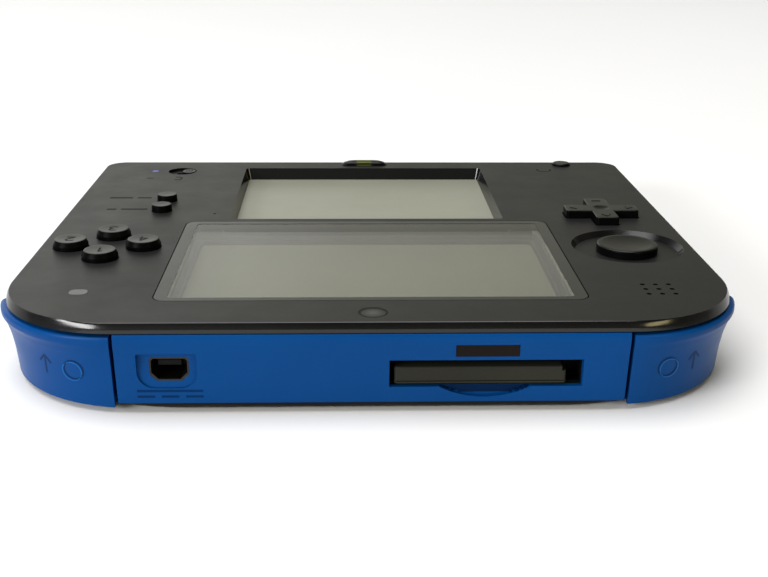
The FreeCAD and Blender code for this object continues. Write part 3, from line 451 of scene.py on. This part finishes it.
def clear_lens():
    """A lightly smoked pane that hardly bends light, with the reflection of glass as its coat."""
    made = Material("clear_lens", Transmission_Weight=1.0, IOR=1.02, Coat_Weight=1.0, Coat_IOR=1.5)
    made.shader.inputs["Coat Roughness"].default_value = 0.06
    tint = (0.585, 0.585, 0.575)
    patches = made.remap(made.noise(40.0), (0.35, 0.65))
    made.colour(made.blend(patches, (*tint, 1.0), (*[part * 1.02 for part in tint], 1.0)))
    made.roughness(made.remap(made.noise(12.0, detail=2.0), (0.3, 0.7), (0.0, 0.006)))
    return made.material


def dress_nodes():
    """Gives each CAD node the finish of its own material slot."""
    for node in nodes.values():
        for slot in node.material_slots:
            slot.material = materials[slot.material.name.split(".")[0]]
    nodes["upper_window"].visible_shadow = False
    for slot in nodes["lcd_frame"].material_slots:
        slot.material = materials["screen_grey"]


# ---- shells with smooth shading ----

SMOOTH_SHELLS = ("front_case", "side_band", "right_shoulder_button", "left_shoulder_button")
SMOOTH_ANGLE = math.radians(24)
# Corners of a CAD mesh that are nearer to each other than this are one point.
SAME_POINT = 0.002


def soften(node):
    """Stands in for a node with its own mesh, its shallow facets shaded as one smooth surface."""
    source = nodes[node]
    mesh = source.data.copy()
    mesh.name = node + "_shell"
    edit = bmesh.new()
    edit.from_mesh(mesh)
    bmesh.ops.remove_doubles(edit, verts=edit.verts, dist=SAME_POINT * MM)
    edit.to_mesh(mesh)
    edit.free()
    piece = add_object(node + "_shell", mesh)
    if mesh.has_custom_normals:
        with bpy.context.temp_override(object=piece, active_object=piece, mesh=mesh):
            bpy.ops.mesh.customdata_custom_splitnormals_clear()
    mesh.shade_smooth()
    mesh.set_sharp_from_angle(angle=SMOOTH_ANGLE)
    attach(piece, body_of_node[node])
    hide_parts(node)


# ---- the window over the inner camera ----

WINDOW_RADIUS = 2.7
WINDOW_TOP_RADIUS = 2.6
WINDOW_THICKNESS = 0.12
WINDOW_SINK = 0.12
WINDOW_SEGMENTS = 64
WINDOW_RIM = (2.4, 2.7)
# Painted reflection of the lens: full out to the first radius, gone by the second.
WINDOW_PAINTED_REFLECTION = (0.4, 1.9)


def window_centre():
    """The middle of the inner camera's window, just under the face, in the row frame."""
    spot = centre_of("inner_camera_lens")
    return at(spot.x, spot.y, -WINDOW_SINK)


def camera_window():
    """A dark flush window with a painted reflection of the lens behind it: a soft pale spot in its middle."""
    made = Material("camera_window", Specular_IOR_Level=0.5)
    ends = {0: made.place, 1: tuple(window_centre())}
    radius = made.node("VectorMath", ends, operation="DISTANCE").outputs["Value"]
    rim = made.remap(radius, [size * MM for size in WINDOW_RIM])
    painted_reflection = made.remap(radius, [size * MM for size in WINDOW_PAINTED_REFLECTION], (1.0, 0.0))
    shade = made.blend(painted_reflection, grey(0.006), (0.045, 0.045, 0.043, 1.0))
    made.colour(made.blend(rim, shade, grey(0.002)))
    made.roughness(made.remap(made.noise(SMEAR_SCALE, detail=4.0), (0.3, 0.7), (0.36, 0.44)))
    return made.material


def add_camera_window():
    """A flush window in the camera's opening, in place of the bare lens."""
    mesh = bpy.data.meshes.new("camera_window")
    edit = bmesh.new()
    bmesh.ops.create_cone(
        edit,
        cap_ends=True,
        segments=WINDOW_SEGMENTS,
        radius1=WINDOW_RADIUS * MM,
        radius2=WINDOW_TOP_RADIUS * MM,
        depth=WINDOW_THICKNESS * MM,
        matrix=Matrix.Translation(window_centre()) @ FACE_TURN,
    )
    edit.to_mesh(mesh)
    edit.free()
    mesh.materials.append(materials["camera_window"])
    piece = add_object("camera_window", mesh)
    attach(piece, body_of_node["inner_camera_lens"])
    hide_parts("inner_camera_lens")


# ---- marks: thin raised strokes laid on the surface under them ----

MARK_LIFT = 0.025
MARK_SINK = 0.06
# How far out the rays start that find the surface.
CLEAR_OF_FACE = 20.0
CLEAR_OF_WALL = 90.0


def lay_on(node, wall):
    """Gives a function that lays a flat point on a node: on its top, or on its wall by the shoulder edge."""
    mesh = nodes[node].data
    corners = [v.co.copy() for v in mesh.vertices]
    tree = BVHTree.FromPolygons(corners, [tuple(p.vertices) for p in mesh.polygons])
    towards = UP if wall else OUT

    def place(point, lift):
        x, along = point
        start = at(x, CLEAR_OF_WALL, along) if wall else at(x, along, CLEAR_OF_FACE)
        return tree.ray_cast(start, -towards)[0] + towards * lift * MM

    return place


def stroke(edit, place, points, width):
    """A thin flat ribbon along a line of points."""
    rows = []
    for i, point in enumerate(points):
        before = points[max(i - 1, 0)]
        after = points[min(i + 1, len(points) - 1)]
        along = Vector((after[0] - before[0], after[1] - before[1])).normalized()
        side = Vector((-along.y, along.x)) * width / 2
        spot = Vector(point)
        corners = ((1, MARK_LIFT), (-1, MARK_LIFT), (-1, -MARK_SINK), (1, -MARK_SINK))
        rows.append([edit.verts.new(place(spot + side * way, lift)) for way, lift in corners])
    for first, second in zip(rows, rows[1:]):
        for i in range(4):
            j = (i + 1) % 4
            edit.faces.new((first[i], first[j], second[j], second[i]))
    edit.faces.new(rows[0])
    edit.faces.new(list(reversed(rows[-1])))


def line(x0, y0, x1, y1, steps=8):
    return [(x0 + (x1 - x0) * i / steps, y0 + (y1 - y0) * i / steps) for i in range(steps + 1)]


def arc(x, y, radius_x, radius_y, start, end, steps=20):
    turns = [math.radians(start + (end - start) * i / steps) for i in range(steps + 1)]
    return [(x + radius_x * math.cos(turn), y + radius_y * math.sin(turn)) for turn in turns]


def moved(strokes, x, y, scale=1.0):
    return [[(x + px * scale, y + py * scale) for px, py in points] for points in strokes]


def add_marks(name, node, strokes, width, finish, wall=False):
    """One piece of strokes, given as lines of points on a node's top or on its wall."""
    place = lay_on(node, wall)
    mesh = bpy.data.meshes.new(name)
    edit = bmesh.new()
    for points in strokes:
        stroke(edit, place, points, width)
    bmesh.ops.recalc_face_normals(edit, faces=edit.faces)
    edit.to_mesh(mesh)
    edit.free()
    mesh.materials.append(materials[finish])
    piece = add_object(name, mesh)
    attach(piece, body_of_node[node])


# ---- marks on the face and its buttons ----

# Numerals two units tall, round their own middle.
ONE = [line(-0.45, 0.55, 0.05, 1.0, 3), line(0.05, 1.0, 0.05, -1.0)]
TWO = [arc(0, 0.45, 0.6, 0.55, 165, -35, 12), line(0.5, 0.15, -0.6, -0.95), line(-0.6, -0.95, 0.65, -0.95)]
THREE = [arc(0, 0.5, 0.55, 0.48, 150, -90, 12), arc(0, -0.48, 0.62, 0.5, 90, -150, 12)]
FOUR = [line(0.3, 1.0, -0.65, -0.35), line(-0.65, -0.35, 0.7, -0.35), line(0.3, 1.0, 0.3, -1.0)]
NUMERALS = {"button_x": ONE, "button_a": TWO, "button_b": THREE, "button_y": FOUR}
NUMERAL_SCALE = 1.35
NUMERAL_WIDTH = 0.45

# The dashes beside the select button and the start button: their y, and where each starts and ends.
OPTION_DASHES = (
    (-24.0, ((53.0, 56.4), (57.6, 63.2))),
    (-13.4, ((52.4, 58.6), (59.8, 62.0))),
)
DASH_WIDTH = 1.0

# Signs round their own middle: an open curve, a short bar, and a pair of headphones.
SLEEP_SIGN = [arc(0, 0, 1.1, 1.5, 60, 300)]
LIGHT_SIGN = [line(-0.9, 0, 0.9, 0)]
PHONES_SIGN = [arc(0, 0, 1.8, 1.6, 0, 180), line(-1.8, 0, -1.8, -1.2), line(1.8, 0, 1.8, -1.2)]
SLEEP_SIGN_AT = (49.3, -43.8)
LIGHT_SIGN_AT = (56.5, -44.1)
PHONES_SIGN_AT = (-49.5, -53.0)
SIGN_WIDTH = 0.5

HOME_BAR_HALF_LENGTH = 2.0
HOME_BAR_RISE = 0.3
HOME_BAR_ROWS = 3
HOME_BAR_PITCH = 0.4
HOME_BAR_WIDTH = 0.45


def add_numerals():
    for node, strokes in NUMERALS.items():
        spot = centre_of(node)
        numeral = moved(strokes, spot.x, spot.y, NUMERAL_SCALE)
        add_marks(node + "_numeral", node, numeral, NUMERAL_WIDTH, "mark_dark")


def add_option_dashes():
    dashes = [line(start, y, end, y) for y, stretches in OPTION_DASHES for start, end in stretches]
    add_marks("option_dashes", "front_case", dashes, DASH_WIDTH, "mark_dark")


def add_face_signs():
    signs = moved(SLEEP_SIGN, *SLEEP_SIGN_AT) + moved(LIGHT_SIGN, *LIGHT_SIGN_AT)
    signs += moved(PHONES_SIGN, *PHONES_SIGN_AT)
    add_marks("face_signs", "front_case", signs, SIGN_WIDTH, "mark_dark")


def add_home_sign():
    """A green bar on the home button, of rows of strokes that overlap."""
    rows = [HOME_BAR_RISE + i * HOME_BAR_PITCH for i in range(HOME_BAR_ROWS)]
    bar = [line(-HOME_BAR_HALF_LENGTH, y, HOME_BAR_HALF_LENGTH, y) for y in rows]
    dome = centre_of("home_button")
    add_marks("home_sign", "home_button", moved(bar, dome.x, dome.y), HOME_BAR_WIDTH, "mark_green")


# ---- marks on the wall by the shoulder edge: these points are (x, z) ----

CURRENT_BAR_Z = -13.4
CURRENT_BAR_HALF_LENGTH = 6.0
CURRENT_DASH_Z = -14.6
CURRENT_DASHES = 3
CURRENT_DASH = 3.2
CURRENT_DASH_PITCH = 4.4
CURRENT_SIGN_WIDTH = 0.5

RING_AT = (54.6, -9.9)
RING_RADIUS = 1.9
# The painted highlight on the ring: a copy of it shifted by this much, this wide.
RING_SHINE_SHIFT = 0.35
RING_SHINE_WIDTH = 0.22
ARROW_TIP = (60.4, -8.0)
ARROW_LENGTH = 4.0
ARROW_HEAD = (1.2, 1.6)
SHOULDER_SIGN_WIDTH = 0.42

# Painted shade in the hollow under the card slot: the middle of its strips, their rows as (z, half length), and
# their width.
THUMB_SHADE_X = -20.6
THUMB_SHADE_ROWS = ((-13.08, 8.3), (-13.44, 7.5), (-13.80, 6.4), (-14.16, 4.9))
THUMB_SHADE_WIDTH = 0.4


def add_current_sign():
    """A direct-current sign under the charge port: a bar over three dashes, moulded in the blue and drawn in a
    darker blue that is painted shade of its grooves.
    """
    port = centre_of("charge_port_shell").x
    left = port - CURRENT_BAR_HALF_LENGTH
    strokes = [line(left, CURRENT_BAR_Z, port + CURRENT_BAR_HALF_LENGTH, CURRENT_BAR_Z, 24)]
    for i in range(CURRENT_DASHES):
        start = left + i * CURRENT_DASH_PITCH
        strokes.append(line(start, CURRENT_DASH_Z, start + CURRENT_DASH, CURRENT_DASH_Z))
    add_marks("current_sign", "side_band", strokes, CURRENT_SIGN_WIDTH, "groove_shade_blue", wall=True)


def add_shoulder_sign(node, side):
    """An arrow and a ring on the shoulder button of one side, in a darker blue that is painted shade of their
    grooves, with a painted highlight in lighter blue along the ring's edge.
    """
    ring = arc(side * RING_AT[0], RING_AT[1], RING_RADIUS, RING_RADIUS, 0, 360, 32)
    x, tip = side * ARROW_TIP[0], ARROW_TIP[1]
    reach, fall = ARROW_HEAD
    arrow = [line(x, tip, x, tip - ARROW_LENGTH)]
    arrow += [line(x, tip, x + way * reach, tip - fall, 4) for way in (-side, side)]
    add_marks(node + "_sign", node, [ring] + arrow, SHOULDER_SIGN_WIDTH, "groove_shade_blue", wall=True)
    shine = moved([ring], side * RING_SHINE_SHIFT, -RING_SHINE_SHIFT)
    add_marks(node + "_sign_edge", node, shine, RING_SHINE_WIDTH, "painted_highlight_blue", wall=True)


def add_thumb_shade():
    """Painted shade: dark blue strips laid in the hollow under the card slot, in rows of (z, half length)."""
    middle = THUMB_SHADE_X
    rows = [line(middle - half, z, middle + half, z, 24) for z, half in THUMB_SHADE_ROWS]
    add_marks("thumb_shade", "side_band", rows, THUMB_SHADE_WIDTH, "painted_shade_blue", wall=True)


# ---- the whole scene ----

materials = make_materials()
dress_nodes()
for shell in SMOOTH_SHELLS:
    soften(shell)
add_numerals()
add_option_dashes()
add_face_signs()
add_home_sign()
add_current_sign()
add_shoulder_sign("right_shoulder_button", side=1)
add_shoulder_sign("left_shoulder_button", side=-1)
add_camera_window()
add_thumb_shade()
add_floor()
add_world()
add_lights()
add_camera()
bpy.context.scene.view_settings.view_transform = "Standard"
